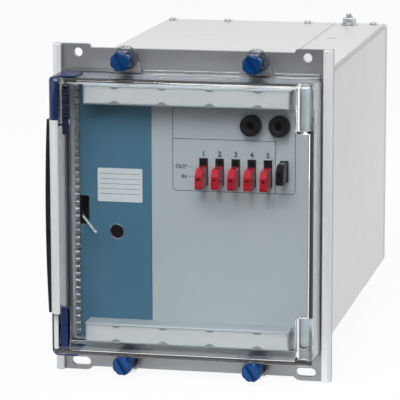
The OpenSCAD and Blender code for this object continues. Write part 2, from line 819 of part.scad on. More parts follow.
module lever_bracket() color(steel) difference() {
    union() {
        translate([lever_x, 0, lever_slot_z])
            slab_y(face_y, face_y + bracket_t) square([bracket_w, bracket_h], center = true);
        for (s = [-1, 1])
            translate([lever_x + s * (cheek_x + lever_cheek_t / 2), 0, 0])
                box(-lever_cheek_t / 2, lever_cheek_t / 2, face_y, pivot_y + lever_hub_d,
                    pivot_z - lever_cheek_h / 2,
                    pivot_z + lever_cheek_h / 2);
    }
    slab_y(face_y - cut, face_y + bracket_t + cut)
        translate([lever_x, lever_slot_z]) square([2 * cheek_x, lever_slot_h], center = true);
    rod_x(lever_x - bracket_w, lever_x + bracket_w, pivot_y, pivot_z, lever_pin_d);
}

module lever_pin() color(steel)
    rod_x(lever_x - cheek_x - 1.5 * lever_cheek_t, lever_x + cheek_x + 1.5 * lever_cheek_t, pivot_y,
        pivot_z, lever_pin_d);

// The lever is a wire that leaves its hub, bends at the elbow and ends in a rounded tip.
// The bend is a little thinner than the wire and runs on into both straights.
function unit(v) = v / norm(v);
wire_in = unit(lever_elbow - lever_hub);
wire_out = unit(lever_tip - lever_elbow);
wire_turn = acos(wire_in * wire_out);
wire_side = unit(wire_out - wire_in * cos(wire_turn));
wire_normal = cross(wire_in, wire_side);
wire_run = lever_bend_r * tan(wire_turn / 2);
wire_bend_from = lever_elbow - wire_run * wire_in;
wire_bend_to = lever_elbow + wire_run * wire_out;
wire_bend_mid = wire_bend_from + lever_bend_r * wire_side;

module along(from, way) translate(from) rotate([0, acos(way.z), atan2(way.y, way.x)]) children();

module wire_bend() multmatrix([
    [-wire_side.x, wire_in.x, wire_normal.x, wire_bend_mid.x],
    [-wire_side.y, wire_in.y, wire_normal.y, wire_bend_mid.y],
    [-wire_side.z, wire_in.z, wire_normal.z, wire_bend_mid.z],
    [0, 0, 0, 1]])
    rotate([0, 0, -lever_bend_over]) rotate_extrude(angle = wire_turn + 2 * lever_bend_over)
        translate([lever_bend_r, 0]) circle(d = lever_bend_d);

module reset_lever() color([0.62, 0.72, 0.80]) difference() {
    union() {
        rod_x(lever_x - lever_hub_w / 2, lever_x + lever_hub_w / 2, pivot_y, pivot_z, lever_hub_d);
        along(lever_hub, wire_in) cylinder(d = lever_d, h = norm(wire_bend_from - lever_hub));
        wire_bend();
        along(wire_bend_to, wire_out)
            rotate_extrude() rect_one_round_up(lever_d / 2, norm(lever_tip - wire_bend_to), lever_d / 4);
    }
    rod_x(lever_x - lever_hub_w, lever_x + lever_hub_w, pivot_y, pivot_z, lever_pin_d + 2 * running_fit);
}

// Cover: three profiles crossed, so that its front edges are rounded all round
module cover_block(grow) {
    w = cover_w + 2 * grow;
    h = cover_h + 2 * grow;
    front = cover_y - grow;
    back = grow < 0 ? rim_y + cut : rim_y;
    edge = cover_edge_r + grow;
    intersection() {
        slab_y(front, back) rounded_rect(w, h, max(cover_r + grow, cover_inner_r));
        post_z(-h, h) for (m = [0, 1]) mirror([m, 0]) translate([0, front]) rect_one_round(w / 2,
            back - front, edge);
        bar_x(-w, w) for (m = [0, 1]) mirror([0, m]) mirror([1, -1]) translate([0, front])
            rect_one_round(h / 2, back - front, edge);
    }
}

module pillars() intersection() {
    cover_block(-cover_t / 2);
    for (sx = [-1, 1], m = [0, 1]) mirror([0, 0, m]) translate([sx * pillar_x, pillar_y,
        cover_h / 2 - pillar_l]) {
        cylinder(r1 = pillar_r - pillar_chamfer, r2 = pillar_r, h = pillar_chamfer);
        translate([0, 0, pillar_chamfer]) cylinder(r = pillar_r, h = pillar_l - pillar_chamfer);
    }
}

module lug_outline() {
    circle(lug_r);
    root = thumb_pitch_z / 2 - cover_h / 2 + cover_t / 2;
    polygon([[-lug_r, 0], [lug_r, 0], [lug_root_w / 2, -root], [-lug_root_w / 2, -root]]);
}

module at_lugs() {
    for (sx = [-1, 1], m = [0, 1])
        mirror([0, 0, m]) translate([sx * thumb_pitch_x / 2, 0, thumb_pitch_z / 2]) children();
}

module clear_cover() color([0.80, 0.88, 0.90, 0.35]) difference() {
    union() {
        difference() {
            cover_block(0);
            cover_block(-cover_t);
        }
        pillars();
        for (m = [0, 1]) mirror([0, 0, m])
            box(-cover_w / 2 + flange_in, cover_w / 2 - flange_in, rim_y - flange_t, rim_y,
                cover_h / 2 - cover_t / 2, cover_h / 2 + flange_h);
        at_lugs() {
            slab_y(lug_y, rim_y) lug_outline();
            rod_y(0, 0, lug_y, face_y, 2 * lug_r - 2);
        }
    }
    at_lugs() rod_y(0, 0, lug_y - cut, face_y + cut, lug_hole_d);
}

module cover_seal() color(moulding_black) slab_y(rim_y, face_y) difference() {
    rounded_rect(cover_w - 2 * seal_inset, cover_h - 2 * seal_inset, cover_r - seal_inset);
    rounded_rect(cover_w - 2 * seal_inset - 2 * seal_w, cover_h - 2 * seal_inset - 2 * seal_w, cover_inner_r);
}

// The dark grip lies on the cover's left side and bows out between the clips
function grip_edge(t) = [-cover_w / 2 - grip_end_t - grip_rise * (1 - t * t), t * grip_half];

module cover_grip() color(grip_dark) slab_y(clip_front, clip_front + grip_w) polygon(concat(
    [for (i = [-grip_steps : grip_steps]) grip_edge(i / grip_steps)],
    [[-cover_w / 2, grip_half], [-cover_w / 2, -grip_half]]));

// The white bar in front of the grip laps round the cover's left front edge, as the upper clip does
module grip_bar() color(paint_white) intersection() {
    clip_shell();
    box(-cover_w / 2 - clip_t, -cover_w / 2 + clip_front_w, cover_y - clip_t, clip_front,
        -grip_half, grip_half);
}

// A clip is a piece of a shell round the cover. The upper one laps over the cover's front as well.
module clip_shell() difference() {
    cover_block(clip_t);
    cover_block(0);
}

module corner_clip(upper) {
    side = -cover_w / 2;
    edge = cover_h / 2;
    front = upper ? cover_y - clip_t : clip_front;
    intersection() {
        clip_shell();
        union() {
            box(side - clip_t, side + (upper ? clip_front_w : 0), front, clip_back, edge - clip_reach_z,
                edge + clip_t);
            box(side - clip_t, side + clip_reach_x, clip_front, clip_back, edge - cover_r, edge + clip_t);
        }
    }
}

module corner_clips() color(clip_blue) {
    corner_clip(true);
    mirror([0, 0, 1]) corner_clip(false);
}

module thumbscrew(sx, sz) color(knob_blue) translate([sx * thumb_pitch_x / 2, lug_y - thumb_gap,
    sz * thumb_pitch_z / 2]) {
    tip = lug_y - thumb_gap + thumb_tip_gap;
    rotate([90, 0, 0]) translate([0, 0, tip]) cylinder(d = thumb_thread_d, h = -tip);
    difference() {
        rotate([90, 0, 0]) rotate_extrude() {
            square([thumb_collar_d / 2, thumb_collar]);
            translate([0, thumb_collar])
                rect_one_round_up(thumb_d / 2, thumb_l - thumb_collar, thumb_dome);
        }
        for (k = [0 : thumb_flutes - 1]) rotate([0, k * 360 / thumb_flutes, 0])
            rod_y(thumb_d / 2 + thumb_flute_r / 2, 0, -thumb_l - cut, -thumb_collar / 2, 2 * thumb_flute_r);
        rotate([0, thumb_slot_turn, 0]) box(-thumb_d, thumb_d, -thumb_l - cut, -thumb_l + thumb_slot_depth,
            -thumb_slot_w / 2, thumb_slot_w / 2);
    }
}

mounting_frame();
side_trim(-1);  // side_trim_left
side_trim(1);  // side_trim_right
case_shell();
side_cover();
rear_pan();
guide_rails();
case_screws();
terminal_block(-1);  // terminal_block_left
terminal_block(1);  // terminal_block_right
terminal_screws();
earth_stud();
earth_washer();
earth_nut();
front_plate();
fascia_blue();
fascia_grey();
edge_strip();
handle(1);  // top_handle
handle(-1);  // bottom_handle
label_strip(1);  // top_label_strip
label_strip(-1);  // bottom_label_strip
rating_plate();
indicator_lens();
indicator_holder();
test_socket(0);  // test_socket_left
test_socket(1);  // test_socket_right
socket_contacts();
link_sockets();
test_link_socket();
chassis_tray();
circuit_board();
transformer_core();
transformer_winding();
polarised_relay();
padding_resistors();
lever_bracket();
lever_pin();
reset_lever();
for (i = [0 : link_count - 1]) {
    link(i);
    link_pins(i);
}
test_link();
link_pins(link_count);  // test_link_pins
clear_cover();
cover_seal();
cover_grip();
grip_bar();
corner_clips();
thumbscrew(-1, 1);  // thumbscrew_1
thumbscrew(1, 1);  // thumbscrew_2
thumbscrew(-1, -1);  // thumbscrew_3
thumbscrew(1, -1);  // thumbscrew_4
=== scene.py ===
import math

import bmesh
import bpy
from mathutils import Matrix, Vector


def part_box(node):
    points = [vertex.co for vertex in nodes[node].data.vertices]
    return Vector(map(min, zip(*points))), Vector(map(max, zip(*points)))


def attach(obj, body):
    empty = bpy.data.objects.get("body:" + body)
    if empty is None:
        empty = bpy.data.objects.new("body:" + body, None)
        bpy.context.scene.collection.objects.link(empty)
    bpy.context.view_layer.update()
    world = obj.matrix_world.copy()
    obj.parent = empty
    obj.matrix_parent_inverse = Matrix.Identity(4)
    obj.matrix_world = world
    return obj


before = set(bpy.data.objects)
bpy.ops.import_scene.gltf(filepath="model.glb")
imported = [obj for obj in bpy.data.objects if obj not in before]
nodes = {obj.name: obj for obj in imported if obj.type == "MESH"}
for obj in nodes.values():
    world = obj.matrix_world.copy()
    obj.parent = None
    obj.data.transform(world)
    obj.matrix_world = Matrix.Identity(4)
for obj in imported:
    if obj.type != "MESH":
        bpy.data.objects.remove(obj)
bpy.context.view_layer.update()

scene = bpy.context.scene
linkNumbers = range(1, 6)
thumbNumbers = range(1, 5)
print("frame loaded:", len(nodes), "nodes")


def tone(r, g, b):
    # a colour as it reads on screen, turned into the linear values that shaders want
    def lin(c):
        c = c / 255.0
        return c / 12.92 if c <= 0.04045 else ((c + 0.055) / 1.055) ** 2.4
    return (lin(r), lin(g), lin(b), 1.0)


# camera, from the corners of the frame, case and cover in the photograph
shot = {"azimuth": 12.162, "elevation": 10.756, "roll": -0.111, "lens": 233.05, "distance": 1.3736,
        "right": 0.0035, "up": 0.0061, "sensor": 36.0, "near": 0.05, "far": 60.0}


def placeCamera():
    az, el, roll = (math.radians(shot[k]) for k in ("azimuth", "elevation", "roll"))
    look = Vector((-math.sin(az) * math.cos(el), math.cos(az) * math.cos(el), -math.sin(el)))
    flat = Vector((math.cos(az), math.sin(az), 0.0))
    rise = flat.cross(look)
    across = flat * math.cos(roll) + rise * math.sin(roll)
    upward = rise * math.cos(roll) - flat * math.sin(roll)
    eye = -look * shot["distance"] + across * shot["right"] + upward * shot["up"]
    data = bpy.data.cameras.new("relayCamera")
    data.sensor_fit = "HORIZONTAL"
    data.sensor_width = shot["sensor"]
    data.lens = shot["lens"]
    data.clip_start = shot["near"]
    data.clip_end = shot["far"]
    camera = bpy.data.objects.new("relayCamera", data)
    camera.matrix_world = Matrix((
        (across.x, upward.x, -look.x, eye.x),
        (across.y, upward.y, -look.y, eye.y),
        (across.z, upward.z, -look.z, eye.z),
        (0, 0, 0, 1)))
    scene.collection.objects.link(camera)
    scene.camera = camera


placeCamera()
print("camera set")

scene.view_settings.view_transform = "Standard"


# helpers for the node trees

def feed(tree, socket, value):
    # a socket takes another node's output or a plain value
    if hasattr(value, "is_linked"):
        tree.links.new(value, socket)
    else:
        socket.default_value = value


def mapRange(tree, source, low, high, toLow, toHigh):
    node = tree.nodes.new("ShaderNodeMapRange")
    tree.links.new(source, node.inputs["Value"])
    limits = {"From Min": low, "From Max": high, "To Min": toLow, "To Max": toHigh}
    for label, value in limits.items():
        feed(tree, node.inputs[label], value)
    return node.outputs["Result"]


def mathNode(tree, operation, first, second=0.0):
    node = tree.nodes.new("ShaderNodeMath")
    node.operation = operation
    feed(tree, node.inputs[0], first)
    feed(tree, node.inputs[1], second)
    return node.outputs[0]


def splitAxes(tree, vector):
    split = tree.nodes.new("ShaderNodeSeparateXYZ")
    tree.links.new(vector, split.inputs["Vector"])
    return split.outputs


def addNoise(tree, vector, scale, detail):
    noise = tree.nodes.new("ShaderNodeTexNoise")
    noise.inputs["Detail"].default_value = detail
    tree.links.new(vector, noise.inputs["Vector"])
    feed(tree, noise.inputs["Scale"], scale)
    return noise


def blendColour(tree, mask, first, second):
    mix = tree.nodes.new("ShaderNodeMix")
    mix.data_type = "RGBA"
    tree.links.new(mask, mix.inputs["Factor"])
    feed(tree, mix.inputs[6], first)
    feed(tree, mix.inputs[7], second)
    return mix.outputs[2]


def mixShaders(tree, amount, first, second, ending):
    mix = tree.nodes.new("ShaderNodeMixShader")
    tree.links.new(amount, mix.inputs["Fac"])
    tree.links.new(first, mix.inputs[1])
    tree.links.new(second, mix.inputs[2])
    tree.links.new(mix.outputs["Shader"], tree.nodes[ending].inputs["Surface"])


def addBump(tree, shader, height, depth, strength):
    bump = tree.nodes.new("ShaderNodeBump")
    bump.inputs["Strength"].default_value = strength
    bump.inputs["Distance"].default_value = depth
    tree.links.new(height, bump.inputs["Height"])
    tree.links.new(bump.outputs["Normal"], shader.inputs["Normal"])


# effects that several finishes share

def newGroup(name, inputs, outputs):
    group = bpy.data.node_groups.new(name, "ShaderNodeTree")
    for label, kind, value in inputs:
        socket = group.interface.new_socket(name=label, in_out="INPUT", socket_type=kind)
        if value is not None:
            socket.default_value = value
    for label in outputs:
        group.interface.new_socket(name=label, in_out="OUTPUT", socket_type="NodeSocketFloat")
    return group, group.nodes.new("NodeGroupInput"), group.nodes.new("NodeGroupOutput")


grainSet = {"fine": 1800.0, "fineDetail": 3.0, "fineRough": 0.55,
            "slow": 14.0, "slowDetail": 4.0, "slowSpan": (0.3, 0.7)}


def makeGrain():
    # fine even grain of paint or moulded plastic, with a slow drift over it
    p = grainSet
    group, entry, leave = newGroup(
        "surfaceGrain",
        [("Vector", "NodeSocketVector", None), ("Fine", "NodeSocketFloat", p["fine"]),
         ("Slow", "NodeSocketFloat", p["slow"])],
        ["Grain", "Drift"])
    vector = entry.outputs["Vector"]
    fine = addNoise(group, vector, entry.outputs["Fine"], p["fineDetail"])
    fine.inputs["Roughness"].default_value = p["fineRough"]
    slow = addNoise(group, vector, entry.outputs["Slow"], p["slowDetail"])
    group.links.new(fine.outputs["Fac"], leave.inputs["Grain"])
    group.links.new(mapRange(group, slow.outputs["Fac"], *p["slowSpan"], 0.0, 1.0), leave.inputs["Drift"])
    return group


handlingSet = {"scale": 40.0, "spread": 0.5, "detail": 5.0, "swirl": 0.8, "full": 0.85,
               "speckScale": 9.0, "speckReach": 0.12, "speckAmount": 0.5}


def makeHandling():
    # faint smears and dust that settle on a unit which has been handled
    p = handlingSet
    group, entry, leave = newGroup(
        "handlingMarks",
        [("Vector", "NodeSocketVector", None), ("Scale", "NodeSocketFloat", p["scale"]),
         ("Spread", "NodeSocketFloat", p["spread"])],
        ["Mask"])
    vector, scale = entry.outputs["Vector"], entry.outputs["Scale"]
    wide = addNoise(group, vector, scale, p["detail"])
    wide.inputs["Distortion"].default_value = p["swirl"]
    smear = mapRange(group, wide.outputs["Fac"], entry.outputs["Spread"], p["full"], 0.0, 1.0)
    specks = group.nodes.new("ShaderNodeTexVoronoi")
    specks.inputs["Randomness"].default_value = 1.0
    group.links.new(vector, specks.inputs["Vector"])
    group.links.new(mathNode(group, "MULTIPLY", scale, p["speckScale"]), specks.inputs["Scale"])
    dust = mapRange(group, specks.outputs["Distance"], 0.0, p["speckReach"], p["speckAmount"], 0.0)
    group.links.new(mathNode(group, "MAXIMUM", smear, dust), leave.inputs["Mask"])
    return group


brushSet = {"stretch": (40.0, 1600.0, 1600.0), "detail": 2.0}


def makeBrush():
    # drawn or brushed metal: streaks along one direction
    p = brushSet
    group, entry, leave = newGroup(
        "brushedStreaks",
        [("Vector", "NodeSocketVector", None), ("Stretch", "NodeSocketVector", p["stretch"])],
        ["Streak"])
    stretched = group.nodes.new("ShaderNodeVectorMath")
    stretched.operation = "MULTIPLY"
    group.links.new(entry.outputs["Vector"], stretched.inputs[0])
    group.links.new(entry.outputs["Stretch"], stretched.inputs[1])
    streak = addNoise(group, stretched.outputs[0], 1.0, p["detail"])
    group.links.new(streak.outputs["Fac"], leave.inputs["Streak"])
    return group


grainGroup, handlingGroup, brushGroup = makeGrain(), makeHandling(), makeBrush()


def useGroup(tree, group, vector, **values):
    node = tree.nodes.new("ShaderNodeGroup")
    node.node_tree = group
    tree.links.new(vector, node.inputs["Vector"])
    for label, value in values.items():
        node.inputs[label].default_value = value
    return node


def foldMask(tree, vector, foldShade):
    # painted shade on the bends of folded sheet, where the normal leaves the flat sides: a darker grey in the
    # colour stands for the bend's shaded reflection
    facing = splitAxes(tree, vector.node.outputs["Normal"])
    sides = [mathNode(tree, "ABSOLUTE", facing[axis]) for axis in ("X", "Z")]
    return mapRange(tree, mathNode(tree, "MULTIPLY", *sides), *foldShade["span"], 0.0, foldShade["amount"])


def rearMask(tree, vector, rear):
    # a darker grey band on the rear margin of the case's two side walls
    facing = splitAxes(tree, vector.node.outputs["Normal"])
    wall = mathNode(tree, "GREATER_THAN", mathNode(tree, "ABSOLUTE", facing["X"]), rear["sideways"])
    behind = mathNode(tree, "GREATER_THAN", splitAxes(tree, vector)["Y"], rear["end"] - rear["deep"])
    return mathNode(tree, "MULTIPLY", wall, behind)


def tabMask(tree, vector, tabShade):
    # painted shade: a darker round patch at each label tab, at an even pitch along both long edges of a handle
    place = splitAxes(tree, vector)
    shifted = mathNode(tree, "SUBTRACT", place["X"], tabShade["pitch"] / 2)
    across = mathNode(tree, "PINGPONG", shifted, tabShade["pitch"] / 2)
    rise = mathNode(tree, "SUBTRACT", mathNode(tree, "ABSOLUTE", place["Z"]), tabShade["middle"])
    edge = mathNode(tree, "ABSOLUTE", rise)
    up = mathNode(tree, "SUBTRACT", edge, tabShade["centre"])
    far = mathNode(tree, "ADD", mathNode(tree, "POWER", across, 2.0), mathNode(tree, "MULTIPLY", up, up))
    inside = mathNode(tree, "LESS_THAN", far, tabShade["radius"] ** 2)
    return mathNode(tree, "MULTIPLY", inside, mathNode(tree, "LESS_THAN", edge, tabShade["rim"]))


def startMaterial(name):
    mat = bpy.data.materials.new(name)
    mat.use_nodes = True
    return mat, mat.node_tree, mat.node_tree.nodes["Principled BSDF"]


def objectPlace(tree):
    return tree.nodes.new("ShaderNodeTexCoord").outputs["Object"]


# what a painted or moulded finish has where its own values say nothing else
plainLook = {"slow": 14.0, "bump": 0.00002, "markAmount": 0.12, "metal": 0.0, "shine": 0.5, "coat": 0.0}
paintMarks = {"scale": 45.0, "spread": 0.52, "colour": (0.55, 0.55, 0.53, 1.0), "grain": 0.4, "ior": 1.5}


def finish(name, values):
    # paint, print, plastic or rubber: grain in the bump, slow drift in the colour, handling marks in the gloss
    look = {**plainLook, **values}
    mat, tree, shader = startMaterial(name)
    vector = objectPlace(tree)
    grain = useGroup(tree, grainGroup, vector, Fine=look["fine"], Slow=look["slow"])
    marks = useGroup(tree, handlingGroup, vector, Scale=paintMarks["scale"], Spread=paintMarks["spread"])
    colour = blendColour(tree, grain.outputs["Drift"], look["colour"], look["shade"])
    # painted shade on the bends and round each label tab, and a darker rear band, where a look asks for them
    for key, makeMask in (("foldShade", foldMask), ("rear", rearMask), ("tabShade", tabMask)):
        if key in look:
            colour = blendColour(tree, makeMask(tree, vector, look[key]), colour, look[key]["colour"])
    faint = mapRange(tree, marks.outputs["Mask"], 0.0, 1.0, 0.0, look["markAmount"])
    tree.links.new(blendColour(tree, faint, colour, paintMarks["colour"]), shader.inputs["Base Color"])
    tree.links.new(mapRange(tree, marks.outputs["Mask"], 0.0, 1.0, *look["gloss"]), shader.inputs["Roughness"])
    addBump(tree, shader, grain.outputs["Grain"], look["bump"], paintMarks["grain"])
    shader.inputs["Metallic"].default_value = look["metal"]
    shader.inputs["IOR"].default_value = paintMarks["ior"]
    shader.inputs["Specular IOR Level"].default_value = look["shine"]
    shader.inputs["Coat Weight"].default_value = look["coat"]
    return mat


metalMarks = {"scale": 60.0, "spread": 0.5, "amount": 0.15, "span": (0.3, 0.7), "bump": 0.00001, "streak": 0.3}


def metal(name, look):
    # plated or bare metal with brushed streaks
    mat, tree, shader = startMaterial(name)
    vector = objectPlace(tree)
    streak = useGroup(tree, brushGroup, vector, Stretch=look["stretch"]).outputs["Streak"]
    marks = useGroup(tree, handlingGroup, vector, Scale=metalMarks["scale"], Spread=metalMarks["spread"])
    colour = blendColour(tree, streak, look["colour"], look["shade"])
    faint = mapRange(tree, marks.outputs["Mask"], 0.0, 1.0, 0.0, metalMarks["amount"])
    tree.links.new(blendColour(tree, faint, colour, look["shade"]), shader.inputs["Base Color"])
    tree.links.new(mapRange(tree, streak, *metalMarks["span"], *look["gloss"]), shader.inputs["Roughness"])
    addBump(tree, shader, streak, metalMarks["bump"], metalMarks["streak"])
    shader.inputs["Metallic"].default_value = 1.0
    return mat


coverLook = {"colour": (0.97, 0.985, 0.99, 1.0), "shadow": (0.93, 0.95, 0.96, 1.0), "gloss": (0.0, 0.05),
             "ior": 1.58, "markScale": 30.0, "markSpread": 0.55, "wave": 60.0, "bump": 0.00002,
             "waveStrength": 0.15}


def clearMoulding(name, look):
    # clear polycarbonate: lamps pass straight through, so what is under the cover is lit as in the room
    mat, tree, shader = startMaterial(name)
    vector = objectPlace(tree)
    marks = useGroup(tree, handlingGroup, vector, Scale=look["markScale"], Spread=look["markSpread"])
    tree.links.new(mapRange(tree, marks.outputs["Mask"], 0.0, 1.0, *look["gloss"]), shader.inputs["Roughness"])
    grain = useGroup(tree, grainGroup, vector, Fine=look["wave"])
    addBump(tree, shader, grain.outputs["Grain"], look["bump"], look["waveStrength"])
    shader.inputs["Base Color"].default_value = look["colour"]
    shader.inputs["Transmission Weight"].default_value = 1.0
    shader.inputs["IOR"].default_value = look["ior"]
    through = tree.nodes.new("ShaderNodeBsdfTransparent")
    through.inputs["Color"].default_value = look["shadow"]
    shadowRay = tree.nodes.new("ShaderNodeLightPath").outputs["Is Shadow Ray"]
    mixShaders(tree, shadowRay, shader.outputs["BSDF"], through.outputs["BSDF"], "Material Output")
    return mat


# painted shade on the bends of the case's folded sheet, a little darker than its flat sides
caseFoldShade = {"span": (0.08, 0.35), "amount": 0.9, "colour": tone(164, 166, 166)}

# darker grey band at the rear margin of the case's sides
rearMargin = {"end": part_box("side_cover")[1][1], "deep": 0.0085, "sideways": 0.5, "colour": tone(190, 191, 192)}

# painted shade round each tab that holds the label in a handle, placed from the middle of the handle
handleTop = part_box("top_handle")
handleTabShade = {"pitch": 0.0254, "radius": 0.0034, "centre": 0.0064, "rim": 0.0042,
              "middle": (handleTop[0][2] + handleTop[1][2]) / 2, "colour": tone(128, 133, 137)}

looks = {
    "caseWhite": {"colour": tone(215, 216, 216), "shade": tone(210, 211, 212), "gloss": (0.38, 0.50),
                  "fine": 1300.0, "slow": 9.0, "bump": 0.00004, "markAmount": 0.05, "foldShade": caseFoldShade,
                  "rear": rearMargin},
    "trimWhite": {"colour": tone(228, 229, 230), "shade": tone(222, 223, 225), "gloss": (0.30, 0.42),
                  "fine": 1400.0, "bump": 0.00003, "markAmount": 0.05},
    "frameGrey": {"colour": tone(158, 160, 163), "shade": tone(148, 150, 153), "gloss": (0.34, 0.46),
                  "fine": 1500.0, "metal": 0.65, "bump": 0.00003, "markAmount": 0.08},
    "plateGrey": {"colour": tone(168, 172, 182), "shade": tone(162, 166, 176), "gloss": (0.40, 0.52),
                  "fine": 1500.0, "markAmount": 0.06},
    "fasciaBlue": {"colour": tone(65, 109, 132), "shade": tone(61, 104, 127), "gloss": (0.42, 0.55),
                   "fine": 2600.0, "markAmount": 0.04},
    "fasciaGrey": {"colour": tone(172, 180, 183), "shade": tone(167, 175, 178), "gloss": (0.42, 0.55),
                   "fine": 2600.0, "markAmount": 0.04},
    "handleGrey": {"colour": tone(162, 169, 173), "shade": tone(156, 163, 167), "gloss": (0.40, 0.52),
                   "fine": 2200.0, "bump": 0.00003, "markAmount": 0.06, "tabShade": handleTabShade},
    "labelCard": {"colour": tone(192, 195, 195), "shade": tone(187, 190, 190), "gloss": (0.55, 0.68),
                  "fine": 3200.0, "markAmount": 0.05},
    "plateSilver": {"colour": tone(204, 209, 210), "shade": tone(197, 202, 203), "gloss": (0.34, 0.46),
                    "fine": 2800.0, "bump": 0.00001, "markAmount": 0.05},
    "blackMoulding": {"colour": tone(20, 20, 22), "shade": tone(27, 27, 29), "gloss": (0.38, 0.55),
                      "fine": 2400.0, "shine": 0.12, "bump": 0.00003, "markAmount": 0.05},
    "linkRed": {"colour": tone(174, 13, 35), "shade": tone(162, 10, 31), "gloss": (0.26, 0.40),
                "fine": 2600.0, "shine": 0.25, "markAmount": 0.03},
    "linkBlack": {"colour": tone(12, 13, 15), "shade": tone(18, 19, 21), "gloss": (0.24, 0.38),
                  "fine": 2600.0, "shine": 0.10, "markAmount": 0.05},
    "clipNavy": {"colour": tone(24, 47, 100), "shade": tone(19, 40, 88), "gloss": (0.20, 0.34),
                 "fine": 2200.0, "markAmount": 0.03},
    # the clips' navy made darker: painted shade for the upper clip leaf
    "clipNavyInShade": {"colour": tone(20, 31, 52), "shade": tone(16, 26, 46), "gloss": (0.16, 0.28),
                  "fine": 2200.0, "markAmount": 0.03},
    # near-black grip: its dark colour is painted shade, standing for the shadowed outline of the grip bar
    "gripShadowDark": {"colour": tone(18, 20, 34), "shade": tone(24, 26, 40), "gloss": (0.30, 0.44),
                 "fine": 2200.0, "markAmount": 0.03},
    "gripWhite": {"colour": tone(224, 226, 228), "shade": tone(218, 220, 222), "gloss": (0.28, 0.40),
                  "fine": 2200.0, "markAmount": 0.04},
    "knobBlue": {"colour": tone(13, 68, 126), "shade": tone(8, 55, 110), "gloss": (0.14, 0.26),
                 "fine": 2200.0, "shine": 0.25, "markAmount": 0.02},
    "sealBlack": {"colour": tone(20, 20, 21), "shade": tone(28, 28, 29), "gloss": (0.62, 0.80),
                  "fine": 1600.0, "bump": 0.00005, "markAmount": 0.08},
    "lensRed": {"colour": tone(24, 9, 15), "shade": tone(18, 7, 12), "gloss": (0.10, 0.22),
                "fine": 2000.0, "bump": 0.00001, "markAmount": 0.02, "coat": 0.5},
    "blackenedSteel": {"colour": tone(36, 37, 39), "shade": tone(28, 29, 31), "gloss": (0.42, 0.56),
                       "fine": 1500.0, "metal": 0.6},
    "boardGreen": {"colour": tone(30, 92, 52), "shade": tone(24, 80, 44), "gloss": (0.35, 0.50),
                   "fine": 900.0},
    "coreSteel": {"colour": tone(84, 82, 80), "shade": tone(68, 66, 65), "gloss": (0.40, 0.58),
                  "fine": 700.0, "metal": 0.6},
    "windingVarnish": {"colour": tone(150, 88, 40), "shade": tone(128, 70, 28), "gloss": (0.22, 0.40),
                       "fine": 500.0},
    "resistorGreen": {"colour": tone(92, 108, 88), "shade": tone(82, 96, 78), "gloss": (0.50, 0.65),
                      "fine": 800.0},
    "printInk": {"colour": tone(52, 76, 88), "shade": tone(46, 69, 80), "gloss": (0.50, 0.62),
                 "fine": 3000.0, "bump": 0.000005, "markAmount": 0.03},
}
metals = {
    "platedSteel": {"colour": tone(196, 198, 200), "shade": tone(168, 170, 173), "gloss": (0.24, 0.38),
                    "stretch": (900.0, 900.0, 60.0)},
    "leverSteel": {"colour": tone(206, 216, 224), "shade": tone(176, 190, 202), "gloss": (0.20, 0.32),
                   "stretch": (200.0, 1400.0, 1400.0)},
    "turnedBrass": {"colour": tone(206, 170, 92), "shade": tone(180, 142, 70), "gloss": (0.20, 0.34),
                    "stretch": (1200.0, 60.0, 1200.0)},
    "drawnCan": {"colour": tone(188, 189, 186), "shade": tone(160, 162, 160), "gloss": (0.28, 0.42),
                 "stretch": (1200.0, 1200.0, 40.0)},
}
finishes = {name: finish(name, look) for name, look in looks.items()}
finishes.update({name: metal(name, look) for name, look in metals.items()})
finishes["coverClear"] = clearMoulding("coverClear", coverLook)

# which finish each node wears
wears = {
    "mounting_frame": "frameGrey", "side_trim_left": "trimWhite", "side_trim_right": "trimWhite",
    "case_shell": "caseWhite", "side_cover": "caseWhite", "rear_pan": "caseWhite",
    "guide_rails": "platedSteel", "case_screws": "platedSteel", "terminal_block_left": "blackMoulding",
    "terminal_block_right": "blackMoulding", "terminal_screws": "platedSteel", "earth_stud": "platedSteel",
    "earth_washer": "platedSteel", "earth_nut": "platedSteel", "front_plate": "plateGrey",
    "fascia_blue": "fasciaBlue", "fascia_grey": "fasciaGrey", "edge_strip": "platedSteel",
    "top_handle": "handleGrey", "bottom_handle": "handleGrey", "top_label_strip": "labelCard",
    "bottom_label_strip": "labelCard", "rating_plate": "plateSilver", "indicator_lens": "lensRed",
    "indicator_holder": "blackMoulding", "test_socket_left": "blackMoulding",
    "test_socket_right": "blackMoulding", "socket_contacts": "turnedBrass", "link_sockets": "blackMoulding",
    "test_link_socket": "blackMoulding", "chassis_tray": "platedSteel", "circuit_board": "boardGreen",
    "transformer_core": "coreSteel", "transformer_winding": "windingVarnish", "polarised_relay": "drawnCan",
    "padding_resistors": "resistorGreen", "lever_bracket": "blackenedSteel", "lever_pin": "platedSteel",
    "reset_lever": "leverSteel", "clear_cover": "coverClear", "cover_seal": "sealBlack",
    "cover_grip": "gripShadowDark", "grip_bar": "gripWhite", "corner_clips": "clipNavy", "test_link": "linkBlack",
    "test_link_pins": "turnedBrass",
}
wears.update({"link_%d" % i: "linkRed" for i in linkNumbers})
wears.update({"link_pins_%d" % i: "turnedBrass" for i in linkNumbers})
wears.update({"thumbscrew_%d" % i: "knobBlue" for i in thumbNumbers})


def dressNodes():
    for name, piece in nodes.items():
        slots = piece.data.materials
        mat = finishes[wears[name]]
        if len(slots) == 0:
            slots.append(mat)
        for k in range(len(slots)):
            slots[k] = mat


dressNodes()
print("finishes on", len(wears), "nodes")

